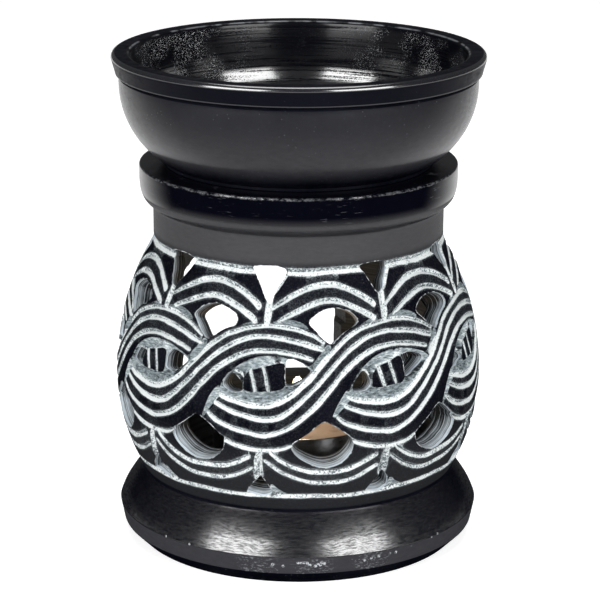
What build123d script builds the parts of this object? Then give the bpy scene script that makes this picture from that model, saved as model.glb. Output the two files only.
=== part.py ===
from build123d import *
import os
from math import asin, cos, degrees, hypot, radians, sin, sqrt

# Essential oil burner of turned and pierced black soapstone, in millimetres, +Z up.
# The origin is the centre of the foot's underside, and the front of the object faces -Y.
# A heavy stand holds a tea light in its chamber. An oil dish stands on the collar over the flame.
# Heights are stacked up from the foot, and radii are taken in from the turned blank.

# Round blank that the stand and the dish are both turned from
blank_radius = 40.0

# Foot of the stand, up to the crease of the waist
foot_trim = 0.6
foot_bevel = 3.1
foot_band_taper = 0.8
foot_band_height = 7.0
foot_shoulder_rise = 4.0
foot_shoulder_drop = 2.5
foot_cove_rise = 4.6

# Pierced drum, widest at its belly
belly_trim = 0.2
waist_drop = 5.6
neck_drop = 8.4
lower_drum_rise = 20.9
upper_drum_rise = 29.5
drum_wall = 5.5
chamber_floor_height = 11.0
tealight_gap = 4.0

# Neck and collar on top of the drum
neck_wall = 4.4
neck_fillet = 6.0
neck_length = 9.2
collar_overhang = 2.9
collar_round = 2.6
collar_edge_round = 0.7
collar_thickness = 7.8

# Turned border grooves above and below the carving
border_groove_width = 1.3
border_groove_depth = 0.7
lower_border_gap = 3.8
upper_border_gap = 0.7

# Pierced openings of the plaited pattern, the same in each repeat around the drum
repeats = 9
first_eye_angle = -10.5
upper_hole_width = 10.8
upper_hole_height = 7.3
lower_hole_width = 12.2
lower_hole_height = 10.2
left_eye_width = 4.8
left_eye_height = 4.3
right_eye_width = 7.0
right_eye_height = 5.6
top_drop_width = 7.4
top_drop_height = 6.4
foot_drop_width = 6.4
foot_drop_height = 5.0

# Hollowed lens round each pair of eye openings, with a bar left standing between them
lens_width = 20.4
lens_height = 10.3
lens_depth = 1.5
bar_width = 6.2
bar_height = 5.4

# Arched doorway at the back, through which the tea light is lit and changed
door_gap = 4.2
door_sill_rise = 13.0
door_top_drop = 4.0
door_angle = 200.5
door_margin = 1.2

# Oil dish
dish_seat_width = 1.8
dish_foot_height = 0.7
dish_spigot_depth = 2.5
dish_spigot_clearance = 0.5
dish_rim_overhang = 1.6
dish_rim_flare = 0.9
dish_rim_height = 4.7
dish_rim_width = 4.1
dish_rim_round = 1.0
dish_groove_width = 0.8
dish_groove_depth = 0.6
dish_side_rise = 16.8
dish_neck_rise = 1.8
dish_floor_thickness = 3.4
dish_hollow_slope = 1.2
dish_hollow_round = 12.0

# Tea light
cup_radius = 18.9
cup_taper = 0.4
cup_height = 15.0
cup_wall = 0.5
cup_lip = 0.5
wax_top_gap = 1.8
wax_clearance = 0.1
wick_radius = 0.8
wick_free_length = 4.5
sustainer_radius = 6.2
sustainer_thickness = 0.5
sustainer_collar_wall = 0.9
sustainer_collar_height = 3.0

# How far each cutter runs past what it cuts
overrun = 2.0

# Outlines of the openings: corners and the points between them, as shares of width and height
upper_hole_shares = [
    (-0.50, 0.66), (-0.12, 0.98), (0.32, 0.88), (0.48, 0.71),
    (0.43, 0.55), (0.14, 0.33), (-0.08, 0.00), (-0.29, 0.36),
]
lower_hole_shares = [
    (0.00, 1.00), (0.26, 0.81), (0.50, 0.60), (0.38, 0.17),
    (0.00, 0.00), (-0.38, 0.17), (-0.50, 0.55), (-0.24, 0.86),
]
left_eye_shares = [
    (-0.50, 0.30), (-0.27, 0.80), (0.10, 1.00), (0.42, 0.86),
    (0.50, 0.55), (0.44, 0.18), (0.15, 0.00), (-0.24, 0.05),
]
right_eye_shares = [
    (-0.50, 0.04), (-0.47, 0.45), (-0.50, 0.86), (-0.02, 0.98), (0.50, 0.62), (0.12, 0.20),
]
top_drop_shares = [
    (-0.50, 0.97), (0.00, 1.01), (0.50, 0.93), (0.27, 0.42),
    (0.13, 0.05), (0.00, 0.00), (-0.13, 0.05), (-0.24, 0.50),
]
foot_drop_shares = [
    (-0.50, 0.05), (0.00, 0.00), (0.50, 0.05), (0.22, 0.50), (0.00, 1.00), (-0.22, 0.50),
]

lens_shares = [
    (-0.50, 0.23), (-0.35, 0.73), (-0.03, 1.00), (0.31, 0.91),
    (0.50, 0.69), (0.33, 0.31), (-0.01, 0.00), (-0.35, 0.06),
]
bar_shares = [(-0.42, 0.00), (0.50, 0.00), (0.42, 1.00), (-0.50, 1.00)]
bar_place_share = (-0.05, 0.06)

# Places: share of a repeat's turn from its eye, of the carved height, and of the wall's slope
upper_hole_place_share = (0.550, 0.767, 1.0)
lower_hole_place_share = (0.459, 0.265, 1.0)
left_eye_place_share = (-0.240, 0.543, 1.0)
right_eye_place_share = (0.240, 0.578, 1.0)
top_drop_place_share = (0.005, 0.963, 0.5)
foot_drop_place_share = (-0.020, 0.055, 1.0)
lens_place_share = (0.020, 0.549, 1.0)


def bulge_radius(run, drop):
    """Radius of an arc that starts upright and moves inwards by drop over the height run."""
    return (run ** 2 + drop ** 2) / (2 * drop)


# Sizes that follow from the ones above
foot_radius = blank_radius - foot_trim
foot_bevel_radius = foot_radius - foot_band_taper
foot_shoulder_radius = foot_radius - foot_shoulder_drop
foot_shoulder_height = foot_band_height + foot_shoulder_rise
belly_radius = blank_radius - belly_trim
waist_radius = belly_radius - waist_drop
waist_height = foot_shoulder_height + foot_cove_rise
belly_height = waist_height + lower_drum_rise
neck_radius = belly_radius - neck_drop
neck_start_height = belly_height + upper_drum_rise
neck_bore_radius = neck_radius - neck_wall
collar_radius = neck_radius + collar_overhang
collar_start_height = neck_start_height + neck_length
collar_top_height = collar_start_height + collar_thickness
lower_arc_radius = bulge_radius(lower_drum_rise, waist_drop)
upper_arc_radius = bulge_radius(upper_drum_rise, neck_drop)
inner_belly_radius = belly_radius - drum_wall
upper_inner_arc_radius = upper_arc_radius - drum_wall
cup_lip_radius = cup_radius + cup_lip
cup_top_height = chamber_floor_height + cup_height
chamber_floor_radius = cup_lip_radius + tealight_gap
lower_border_height = waist_height + lower_border_gap
upper_border_height = neck_start_height + upper_border_gap
carved_height = upper_border_height - lower_border_height
repeat_angle = 360 / repeats
door_arch_radius = cup_lip_radius + door_gap / 2
door_sill_height = chamber_floor_height + door_sill_rise
door_top_height = neck_start_height - door_top_drop
door_spring_height = door_top_height - door_arch_radius
dish_seat_height = collar_top_height
dish_spigot_radius = neck_bore_radius - dish_spigot_clearance
dish_foot_radius = neck_bore_radius + dish_seat_width
dish_rim_radius = blank_radius
dish_rim_lower_radius = dish_rim_radius - dish_rim_flare
dish_side_radius = dish_rim_radius - dish_rim_overhang
sustainer_collar_radius = wick_radius + sustainer_collar_wall


def drum_radius(height):
    """Outer radius of the drum at a height."""
    arc = upper_arc_radius if height > belly_height else lower_arc_radius
    return belly_radius - arc + sqrt(arc ** 2 - (height - belly_height) ** 2)


def drum_slope(height):
    """Angle in degrees by which the drum's surface looks up at a height."""
    arc = upper_arc_radius if height > belly_height else lower_arc_radius
    return degrees(asin((height - belly_height) / arc))


def neck_cove_ends():
    """Ends of the hollow curve between the drum and the neck: on the drum, then on the neck."""
    arc_axis = belly_radius - upper_arc_radius
    reach = upper_arc_radius + neck_fillet
    across = neck_radius + neck_fillet - arc_axis
    rise = sqrt(reach ** 2 - across ** 2)
    share = upper_arc_radius / reach
    on_drum = (arc_axis + across * share, belly_height + rise * share)
    return on_drum, (neck_radius, belly_height + rise)


def turned(outline):
    """Solid turned about the Z axis from a closed outline drawn as (radius, height)."""
    return revolve(make_face(Plane.XZ * outline), Axis.Z)


def groove_ring(height, radius):
    """Ring shaped cutter for a V groove turned into a wall of that radius."""
    half = border_groove_width / 2
    outline = Polyline(
        (radius - border_groove_depth, height),
        (radius + overrun, height + half + overrun),
        (radius + overrun, height - half - overrun),
        close=True,
    )
    return turned(outline)


def stand_outer_line():
    """Outer outline of the stand from the foot's underside to the collar's top."""
    low = Polyline(
        (0, 0),
        (foot_bevel_radius - foot_bevel, 0),
        (foot_bevel_radius, foot_bevel),
        (foot_radius, foot_band_height),
    )
    shoulder = TangentArc(
        (foot_radius, foot_band_height), (foot_shoulder_radius, foot_shoulder_height), tangent=(0, 1)
    )
    cove = Line((foot_shoulder_radius, foot_shoulder_height), (waist_radius, waist_height))
    belly = (belly_radius, belly_height)
    lower = TangentArc(belly, (waist_radius, waist_height), tangent=(0, -1))
    on_drum, on_neck = neck_cove_ends()
    upper = TangentArc(belly, on_drum, tangent=(0, 1)) + TangentArc(on_neck, on_drum, tangent=(0, -1))
    neck = Line(on_neck, (neck_radius, collar_start_height))
    under = TangentArc(
        (collar_radius, collar_start_height + collar_round),
        (collar_radius - collar_round, collar_start_height),
        tangent=(0, -1),
    )
    ledge = Line((neck_radius, collar_start_height), (collar_radius - collar_round, collar_start_height))
    side = Line(
        (collar_radius, collar_start_height + collar_round),
        (collar_radius, collar_top_height - collar_edge_round),
    )
    edge = TangentArc(
        (collar_radius, collar_top_height - collar_edge_round),
        (collar_radius - collar_edge_round, collar_top_height),
        tangent=(0, 1),
    )
    return low + shoulder + cove + lower + upper + neck + ledge + under + side + edge


def stand_inner_line():
    """Inner outline from the collar's top down the bore and the chamber's wall to its floor."""
    bore_drop = inner_belly_radius - neck_bore_radius
    bore_rise = sqrt(upper_inner_arc_radius ** 2 - (upper_inner_arc_radius - bore_drop) ** 2)
    bore_end = (neck_bore_radius, belly_height + bore_rise)
    floor_end = (chamber_floor_radius, chamber_floor_height)
    inner_belly = (inner_belly_radius, belly_height)
    top = Polyline(
        (collar_radius - collar_edge_round, collar_top_height),
        (neck_bore_radius, collar_top_height),
        bore_end,
    )
    upper = TangentArc(inner_belly, bore_end, tangent=(0, 1))
    lower = TangentArc(inner_belly, floor_end, tangent=(0, -1))
    floor = Polyline(floor_end, (0, chamber_floor_height), (0, 0))
    return top + upper + lower + floor


def arc_chain(shares, width, height):
    """Closed outline of arcs through corners and the points between them, centred on the origin."""
    points = [(x * width, (y - 0.5) * height) for x, y in shares]
    count = len(points)
    arcs = [
        ThreePointArc(points[i], points[i + 1], points[(i + 2) % count]) for i in range(0, count, 2)
    ]
    return make_face(Wire(arcs))


def wall_plane(angle, height, slope_share):
    """Plane that touches the drum's wall at an angle from the front, its Z axis pointing out."""
    slope = radians(drum_slope(height)) * slope_share
    turn = radians(angle)
    across = (cos(turn), sin(turn), 0)
    outward = (sin(turn) * cos(slope), -cos(turn) * cos(slope), sin(slope))
    radius = drum_radius(height)
    place = (radius * sin(turn), -radius * cos(turn), height)
    return Plane(origin=place, x_dir=across, z_dir=outward)


def clears_door(angle, height, reach):
    """True where an opening that reaches so far from its centre leaves the doorway's edge whole."""
    turn = radians(angle - door_angle)
    if cos(turn) < 0:
        return True
    across = drum_radius(height) * sin(turn)
    room = reach + door_margin
    if height > door_spring_height:
        return hypot(across, height - door_spring_height) > door_arch_radius + room
    return abs(across) > door_arch_radius + room or height < door_sill_height - room


def wall_places(place_share, reach):
    """Planes on the wall for one feature of the pattern, in every repeat that the door leaves."""
    turn_share, height_share, slope_share = place_share
    level = lower_border_height + height_share * carved_height
    angles = [first_eye_angle + repeat_angle * (number + turn_share) for number in range(repeats)]
    kept = [angle for angle in angles if clears_door(angle, level, reach)]
    return [wall_plane(angle, level, slope_share) for angle in kept]


def piercing(shares, width, height, place_share):
    """Cutters that take one kind of opening through the wall."""
    outline = arc_chain(shares, width, height)
    length = belly_radius - neck_bore_radius
    cutters = []
    for place in wall_places(place_share, width / 2):
        face = place * outline
        cutters.append(extrude(face, amount=-length) + extrude(face, amount=overrun))
    return cutters


def piercings():
    """Cutters for all the openings of the plaited pattern."""
    return (
        piercing(upper_hole_shares, upper_hole_width, upper_hole_height, upper_hole_place_share)
        + piercing(lower_hole_shares, lower_hole_width, lower_hole_height, lower_hole_place_share)
        + piercing(left_eye_shares, left_eye_width, left_eye_height, left_eye_place_share)
        + piercing(right_eye_shares, right_eye_width, right_eye_height, right_eye_place_share)
        + piercing(top_drop_shares, top_drop_width, top_drop_height, top_drop_place_share)
        + piercing(foot_drop_shares, foot_drop_width, foot_drop_height, foot_drop_place_share)
    )


def lens_pockets():
    """Flat floored cutters for the lens round each pair of eye openings, sparing the bar."""
    corners = [(x * bar_width, (y - 0.5) * bar_height) for x, y in bar_shares]
    shift = Pos(bar_place_share[0] * lens_width, bar_place_share[1] * lens_height)
    outline = arc_chain(lens_shares, lens_width, lens_height)
    outline = outline - shift * make_face(Polyline(corners, close=True))
    floor = Pos(0, 0, -lens_depth)
    places = wall_places(lens_place_share, lens_width / 2)
    return [extrude(place * floor * outline, amount=lens_depth + overrun) for place in places]


def door_cutter():
    """Arched block that cuts the doorway from the chamber outwards."""
    left = (-door_arch_radius, door_spring_height)
    right = (door_arch_radius, door_spring_height)
    jambs = Polyline(
        left, (-door_arch_radius, door_sill_height), (door_arch_radius, door_sill_height), right
    )
    outline = jambs + ThreePointArc(right, (0, door_top_height), left)
    turn = radians(door_angle)
    plane = Plane(origin=(0, 0, 0), x_dir=(cos(turn), sin(turn), 0), z_dir=(sin(turn), -cos(turn), 0))
    return extrude(plane * make_face(outline), amount=belly_radius + overrun)


def carved_body():
    """The stand: foot, pierced drum, neck and collar, turned and carved from one stone."""
    body = turned(stand_outer_line() + stand_inner_line())
    lower_groove = groove_ring(lower_border_height, drum_radius(lower_border_height))
    upper_groove = groove_ring(upper_border_height, neck_radius)
    return body - [lower_groove, upper_groove, door_cutter()] - lens_pockets() - piercings()


def oil_dish():
    """The dish: a spigot in the neck's bore, a low foot on the collar, a round side and a thick rim."""
    seat = dish_seat_height
    side_top = seat + dish_foot_height + dish_side_rise
    rim_low = side_top + dish_neck_rise
    top = rim_low + dish_rim_height
    outer = Polyline(
        (0, seat - dish_spigot_depth),
        (dish_spigot_radius, seat - dish_spigot_depth),
        (dish_spigot_radius, seat),
        (dish_foot_radius, seat),
        (dish_foot_radius, seat + dish_foot_height),
    )
    side = TangentArc(
        (dish_side_radius, side_top), (dish_foot_radius, seat + dish_foot_height), tangent=(0, -1)
    )
    groove = Polyline(
        (dish_side_radius, side_top),
        (dish_side_radius, rim_low - dish_groove_width / 2),
        (dish_side_radius - dish_groove_depth, rim_low),
        (dish_rim_lower_radius, rim_low + dish_groove_width / 2),
        (dish_rim_radius, top - dish_rim_round),
    )
    lip = TangentArc(
        (dish_rim_radius, top - dish_rim_round), (dish_rim_radius - dish_rim_round, top), tangent=(0, 1)
    )
    hollow_radius = dish_rim_radius - dish_rim_width
    floor = seat + dish_floor_thickness
    hollow = FilletPolyline(
        (dish_rim_radius - dish_rim_round, top),
        (hollow_radius, top),
        (hollow_radius - dish_hollow_slope, floor),
        (0, floor),
        radius=[dish_rim_round, dish_hollow_round],
    )
    axis = Line((0, floor), (0, seat - dish_spigot_depth))
    return turned(outer + side + groove + lip + hollow + axis)


def tealight_cup():
    """Thin metal cup with an outward lip."""
    low = chamber_floor_height
    top = cup_top_height
    return turned(
        Polyline(
            (0, low),
            (cup_radius - cup_taper, low),
            (cup_radius, top - cup_wall),
            (cup_lip_radius, top - cup_wall),
            (cup_lip_radius, top),
            (cup_radius - cup_wall, top),
            (cup_radius - cup_taper - cup_wall, low + cup_wall),
            (0, low + cup_wall),
            close=True,
        )
    )


def wick_sustainer():
    """Pressed tab with a short collar, which holds the wick upright on the cup's floor."""
    low = chamber_floor_height + cup_wall
    return turned(
        Polyline(
            (wick_radius, low),
            (sustainer_radius, low),
            (sustainer_radius, low + sustainer_thickness),
            (sustainer_collar_radius, low + sustainer_thickness),
            (sustainer_collar_radius, low + sustainer_collar_height),
            (wick_radius, low + sustainer_collar_height),
            close=True,
        )
    )


def tealight_wax():
    """Wax fill, moulded round the sustainer and the wick."""
    low = chamber_floor_height + cup_wall
    top = cup_top_height - wax_top_gap
    narrow = cup_radius - cup_taper - cup_wall - wax_clearance
    wide = cup_radius - cup_wall - wax_clearance - cup_taper * wax_top_gap / cup_height
    return turned(
        Polyline(
            (sustainer_radius + wax_clearance, low),
            (narrow, low),
            (wide, top),
            (wick_radius + wax_clearance, top),
            (wick_radius + wax_clearance, low + sustainer_collar_height),
            (sustainer_collar_radius + wax_clearance, low + sustainer_collar_height),
            (sustainer_collar_radius + wax_clearance, low + sustainer_thickness),
            (sustainer_radius + wax_clearance, low + sustainer_thickness),
            close=True,
        )
    )


def tealight_wick():
    """Wick from the sustainer's foot to its free end above the wax."""
    low = chamber_floor_height + cup_wall
    top = cup_top_height - wax_top_gap + wick_free_length
    return turned(Polyline((0, low), (wick_radius, low), (wick_radius, top), (0, top), close=True))


def main():
    """Builds every piece and writes each to its own file."""
    os.makedirs("parts", exist_ok=True)
    makers = [carved_body, oil_dish, tealight_cup, tealight_wax, tealight_wick, wick_sustainer]
    for maker in makers:
        piece = maker()
        export_step(piece, "parts/" + maker.__name__ + ".step")
        print(maker.__name__, "volume", round(piece.volume), "solids", len(piece.solids()))


main()
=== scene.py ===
from functools import reduce
from math import asin, atan2, ceil, cos, degrees, hypot, pi, radians, sin, sqrt
from operator import or_

import bpy
import numpy as np
from mathutils import Matrix, Vector, noise
from mathutils.geometry import delaunay_2d_cdt

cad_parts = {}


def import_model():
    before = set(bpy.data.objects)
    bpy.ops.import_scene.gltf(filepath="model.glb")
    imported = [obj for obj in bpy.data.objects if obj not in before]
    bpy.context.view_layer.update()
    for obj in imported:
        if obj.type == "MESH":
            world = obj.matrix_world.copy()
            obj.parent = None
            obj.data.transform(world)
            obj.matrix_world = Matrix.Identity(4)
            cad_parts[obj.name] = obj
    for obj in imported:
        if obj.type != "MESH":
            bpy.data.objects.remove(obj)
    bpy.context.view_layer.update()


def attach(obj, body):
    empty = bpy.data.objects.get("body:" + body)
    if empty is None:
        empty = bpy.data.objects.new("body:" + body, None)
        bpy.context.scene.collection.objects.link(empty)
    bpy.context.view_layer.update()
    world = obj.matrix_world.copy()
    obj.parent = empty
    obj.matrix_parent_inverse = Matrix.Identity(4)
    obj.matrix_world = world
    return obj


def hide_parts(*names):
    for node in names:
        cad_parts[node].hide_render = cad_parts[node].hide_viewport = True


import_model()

# Everything is drawn in millimetres and scaled to metres when a mesh is made. Heights are taken from the
# bottom of the foot's band, which stands SOLE above the surface. Angles run from the front (-Y) towards +X.
MM = 0.001
SOLE = 2.0
TURNS = 288
RING = np.arange(TURNS) * 2 * pi / TURNS

# Profile of the stand, as in the part's source
BELLY_R, BELLY_Z = 39.8, 34.5
WAIST_R, WAIST_Z = 34.2, 13.6
NECK_R, NECK_Z = 31.4, 64.0
BORE_R, FLOOR_R, FLOOR_Z = 27.0, 23.4, 9.0
COLLAR_R, COLLAR_Z, COLLAR_TOP = 34.3, 71.4, 81.0
WALL, FILLET = 5.5, 6.0


def bulge(run, drop):
    """Radius of an arc that starts upright and moves in by drop over the height run."""
    return (run * run + drop * drop) / (2 * drop)


LOW_ARC = bulge(BELLY_Z - WAIST_Z, BELLY_R - WAIST_R)
UP_ARC = bulge(NECK_Z - BELLY_Z, BELLY_R - NECK_R)
FILLET_ACROSS = NECK_R + FILLET - (BELLY_R - UP_ARC)
FILLET_Z = BELLY_Z + sqrt((UP_ARC + FILLET) ** 2 - FILLET_ACROSS ** 2)
FILLET_LOW = BELLY_Z + (FILLET_Z - BELLY_Z) * UP_ARC / (UP_ARC + FILLET)
IN_R = BELLY_R - WALL
IN_LOW_ARC = bulge(BELLY_Z - FLOOR_Z, IN_R - FLOOR_R)
IN_UP_ARC = UP_ARC - WALL
BORE_END = BELLY_Z + sqrt(IN_UP_ARC ** 2 - (IN_UP_ARC - IN_R + BORE_R) ** 2)

# The plait: nine equal units. u is degrees from an eye's centre, z is the height.
REPEATS, UNIT, FIRST_EYE = 9, 40.0, -10.5
EYES = [radians(FIRST_EYE + UNIT * number) for number in range(REPEATS)]
PER_DEGREE = BELLY_R * pi / 180
UNIT_MM = UNIT * PER_DEGREE

# Step along the drawn lines, the distance that stands for far outside an outline, the height up to which
# the points are close, and the carving's slips
LINE_STEP = 0.45
FAR = -3.0
FINE_TOP = 67.5
SLIP_SEED, SLIP, SMALL_SLIP = 63, 0.42, 0.10

# White filled grooves as (u, z, half width) rows
GROOVES = {
    "top_edge": [
        (-14, 39.9, 0.4), (-9.5, 39, 0.6), (-4.5, 38.45, 0.65), (0.5, 38.4, 0.6), (5.5, 39.4, 0.6),
        (10.5, 41.6, 0.6), (15.5, 45, 0.6), (20.5, 48.8, 0.55), (25.5, 51.6, 0.5), (30.5, 53.15, 0.48),
        (35.5, 54.05, 0.45), (40.5, 54.5, 0.45), (45.5, 54.4, 0.48), (50.5, 53.8, 0.45), (55, 52.7, 0.4),
        (58.5, 51.3, 0.3),
    ],
    "upper_line": [
        (-14.8, 38, 0.55), (-9.5, 36.5, 0.6), (-4.5, 35.75, 0.65), (0.5, 35.5, 0.7), (5.5, 36.3, 0.65),
        (10.5, 38.7, 0.55), (15.5, 42, 0.5), (20.5, 45.7, 0.5), (25.5, 48.9, 0.52), (30.5, 50.9, 0.52),
        (35.5, 52, 0.52), (40.5, 52.3, 0.52), (45.5, 52, 0.55), (50.5, 51.4, 0.58), (55.5, 50.5, 0.6),
        (58.3, 49.9, 0.5),
    ],
    "lower_line": [
        (-17.3, 35.7, 0.45), (-14.5, 34.2, 0.55), (-9.5, 32.9, 0.6), (-4.5, 32.2, 0.6), (0.5, 31.95, 0.7),
        (5.5, 33, 0.6), (10.5, 35.1, 0.6), (15.5, 38, 0.6), (20.5, 42, 0.58), (25.5, 45.7, 0.6),
        (30.5, 47.9, 0.6), (35.5, 49.15, 0.55), (40.5, 49.5, 0.52), (45.5, 49.3, 0.52), (50.5, 48.7, 0.5),
        (54.6, 48, 0.42),
    ],
    "trough_edge": [
        (-19.3, 34.3, 0.16), (-16.5, 32.5, 0.2), (-13.6, 30.9, 0.46), (-9.5, 29.5, 0.56),
        (-4.5, 28.65, 0.6), (0.5, 28.5, 0.58), (5.5, 28.95, 0.52), (8.8, 30, 0.35),
    ],
    "upper_scallop_outer": [
        (2, 57.9, 0.35), (5.5, 59.3, 0.5), (10.5, 60.9, 0.6), (15.5, 61.9, 0.62), (20.5, 62.2, 0.62),
        (25.5, 61.8, 0.62), (30.5, 60.7, 0.62), (35.5, 58.9, 0.66), (37, 58.1, 0.7),
    ],
    "upper_scallop_inner": [
        (4, 55.5, 0.28), (5.5, 56, 0.42), (10.5, 57.5, 0.55), (15.5, 58.7, 0.58), (20.5, 59.2, 0.58),
        (25.5, 58.7, 0.58), (30.5, 57.5, 0.6), (35, 56, 0.64), (36.2, 55.4, 0.68),
    ],
    "lower_scallop_outer": [
        (2.5, 27.9, 0.5), (5.5, 26.2, 0.56), (10.5, 24.4, 0.6), (15.5, 23.6, 0.66), (20.5, 23.7, 0.7),
        (25.5, 24.1, 0.68), (30.5, 25.1, 0.62), (35.2, 26.7, 0.6),
    ],
    "lower_scallop_inner": [
        (0.7, 26, 0.42), (5.5, 23.5, 0.5), (10.5, 21.8, 0.52), (15.5, 20.9, 0.52), (20.5, 20.9, 0.55),
        (25.5, 21.3, 0.55), (30.5, 22.2, 0.5), (35.9, 24.1, 0.5),
    ],
    "upper_stem": [(0.9, 60.6, 0.85), (0.6, 58.5, 0.8), (0.5, 56.6, 0.85), (0.3, 55.1, 0.7)],
    "lower_stem": [(-0.9, 28, 0.6), (-1.4, 26.5, 0.9), (-1.6, 24.5, 1), (-1.9, 22.4, 1.05)],
    "bar_left": [(-4.1, 45.6, 0.4), (-3.1, 43.4, 0.42), (-2.2, 41.3, 0.38)],
    "bar_right": [(-0.1, 46.2, 0.34), (0.9, 43.8, 0.36), (1.8, 41.6, 0.32)],
    "eye_hook": [(-9.2, 45.3, 0.28), (-7.8, 44.9, 0.4), (-6.8, 44.1, 0.28)],
}
GROOVE_DEPTH, BAR_GROOVE_DEPTH, BORDER_DEPTH = 0.55, 0.12, 0.6
GROOVE_DEPTHS = {"upper_stem": 0.8, "lower_stem": 0.8, "top_edge": 0.5}
BORDERS = [(64.85, 0.80), (17.4, 0.55)]
BORDER_TURNS = 396

# Openings as (u, z) outlines
HOLES = {
    "upper_hole": [
        (13.8, 55.2), (16.5, 56.8), (20.5, 57.6), (25, 57.5), (28.8, 56.6), (30.4, 55.3), (29.4, 54.2),
        (25.5, 53), (22.8, 51.8), (20.9, 50.9), (18.5, 51.9), (15.8, 53.7),
    ],
    "lower_hole": [
        (18.1, 34.9), (14.5, 33.1), (10.5, 31.1), (9.1, 30.2), (9.4, 28.3), (12, 26.4), (15.5, 25.1),
        (18.8, 24.6), (22.5, 25.2), (25.8, 26.8), (27.4, 28.8), (27.3, 30.7), (24.2, 32.6), (21, 34.2),
    ],
    "left_eye": [
        (-12.6, 42), (-11.5, 43.6), (-9.6, 45), (-7.6, 44.6), (-6.6, 43.5), (-6.6, 42.2), (-7.6, 41.2),
        (-9.8, 40.9), (-11.8, 41.1),
    ],
    "right_eye": [
        (5.4, 42.7), (5.4, 46.4), (7, 47.1), (9.5, 47.1), (12.3, 46.5), (13.8, 45.6), (12, 44.3),
        (9, 42.9), (7, 42.4),
    ],
    "top_drop": [
        (-5.6, 65.5), (-2.5, 65.9), (2.5, 65.9), (5.7, 65.3), (5.4, 63.9), (3.4, 62.2), (2.2, 60.9),
        (0.6, 60.1), (-1, 60.5), (-2, 61.9), (-3.8, 63.7),
    ],
    "foot_drop": [
        (-6.4, 18), (-5.2, 17.3), (-1, 17), (1.6, 17.6), (1.4, 19.4), (0.2, 21.2), (-1.2, 22.1),
        (-2.8, 21.3), (-4.8, 19.8),
    ],
}
HOLES_BY_UNIT = {
    ("right_eye", 0): [
        (6.9, 42.9), (6.7, 47.4), (8.5, 48), (11, 47.4), (13.6, 46.3), (14.5, 45.4), (13.4, 44.3),
        (10.6, 43), (8.5, 42.4),
    ],
    ("left_eye", 0): [
        (-12.8, 42.4), (-11.6, 44.2), (-10.2, 44.9), (-8.9, 44), (-7.4, 43), (-6.4, 42.1), (-7.2, 40.9),
        (-9.8, 40.6), (-12, 41.1),
    ],
    ("top_drop", 0): [
        (-6.9, 65.5), (-2.5, 65.9), (2.5, 65.9), (5.9, 65.3), (5.4, 63.7), (3.4, 62), (2.1, 60.2),
        (0.9, 58.9), (-0.9, 59.6), (-2.9, 61.6), (-5.4, 63.8),
    ],
    ("top_drop", 8): [
        (-6.4, 65.5), (-2.5, 65.9), (2.5, 65.9), (6.4, 65.3), (5.8, 63.5), (3.6, 61.8), (2.1, 60.2),
        (0.7, 59.2), (-1.1, 60), (-2.8, 61.8), (-4.8, 63.7),
    ],
}
# Centre of each opening's cut as (u, z), the share of the drum's slope that it follows, and its reach
HOLE_CUTS = {
    "upper_hole": (22.0, 53.7, 1.0, 5.4), "lower_hole": (18.4, 29.9, 1.0, 6.1),
    "left_eye": (-9.6, 43.1, 1.0, 2.4), "right_eye": (9.6, 44.7, 1.0, 3.5),
    "top_drop": (0.2, 63.0, 0.5, 3.7), "foot_drop": (-0.8, 20.0, 1.0, 3.2),
}
HOLE_TURNS = {("top_drop", 8): 26.0, ("top_drop", 0): 4.0}
FLARES = {"top_drop": 1.35, "upper_hole": 1.12}
WALL_STEPS = [0.05, 0.22, 0.45, 0.72]
RECESS_DEPTH, RECESS_SLOPE = 1.6, 0.8

# Hollowed places as (u, z) outlines with a depth, the width of their slope and how pale the dust in them is
HOLLOWS = {
    "lens": ([
        (-14, 40.4), (-12.5, 43.3), (-9.5, 45.7), (-5, 47.6), (0, 48.4), (5, 48.4), (10, 47.6),
        (13.4, 46.7), (15.4, 45.5), (13, 43.6), (10.5, 41.8), (5.5, 39.7), (0.5, 38.7), (-4.5, 38.8),
        (-9.5, 39.3), (-12.6, 39.8),
    ], 1.25, 1.5, 0.62),
    "crossing_upper": ([
        (15.6, 45.9), (17, 46.2), (18.8, 47.5), (20.8, 50.2), (19.6, 50.9), (17.6, 49.3), (15.6, 47.6),
        (14.9, 46.7),
    ], 0.9, 0.6, 0.45),
    "crossing_lower": ([
        (-19.7, 34.5), (-18.6, 36.6), (-16.8, 39.3), (-14.6, 41.5), (-13.5, 41), (-13.4, 39.8),
        (-14.4, 38.7), (-16.6, 36.9), (-18.4, 35.2),
    ], 0.9, 0.6, 0.6),
    "crest_right": ([
        (2.4, 55.5), (8, 55.8), (12.3, 54.9), (13.4, 53.8), (8, 54.5), (2.5, 54.8),
    ], 0.5, 0.4, 0.4),
    "crest_left": ([(-2.4, 55.2), (-5.5, 55.1), (-9.2, 53.9), (-5, 54.5), (-2.5, 54.8)], 0.4, 0.4, 0.35),
    "foot_facet": ([(1.5, 17.3), (7.4, 17.6), (4.2, 19.1), (1.9, 20.4)], 0.9, 1.2, 0.55),
    "drop_facet": ([
        (2, 60.4), (3.2, 60.9), (5.2, 62.6), (7, 64.4), (5.6, 64.6), (3.2, 62.3),
    ], 0.7, 0.6, 0.85),
}
# The bar that stands across the lens
BAR = [(-6.2, 43), (-4.8, 45.2), (-0.5, 46.1), (4.6, 46.6), (4.8, 42), (0, 41.5), (-5.6, 41.5)]
WIDE_BAR = [(-6.2, 43), (-4.9, 45.2), (-0.5, 46.2), (6.2, 46.9), (6.6, 42.4), (0, 41.4), (-5.6, 41.4)]
BARS_BY_UNIT = {0: WIDE_BAR}
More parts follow.
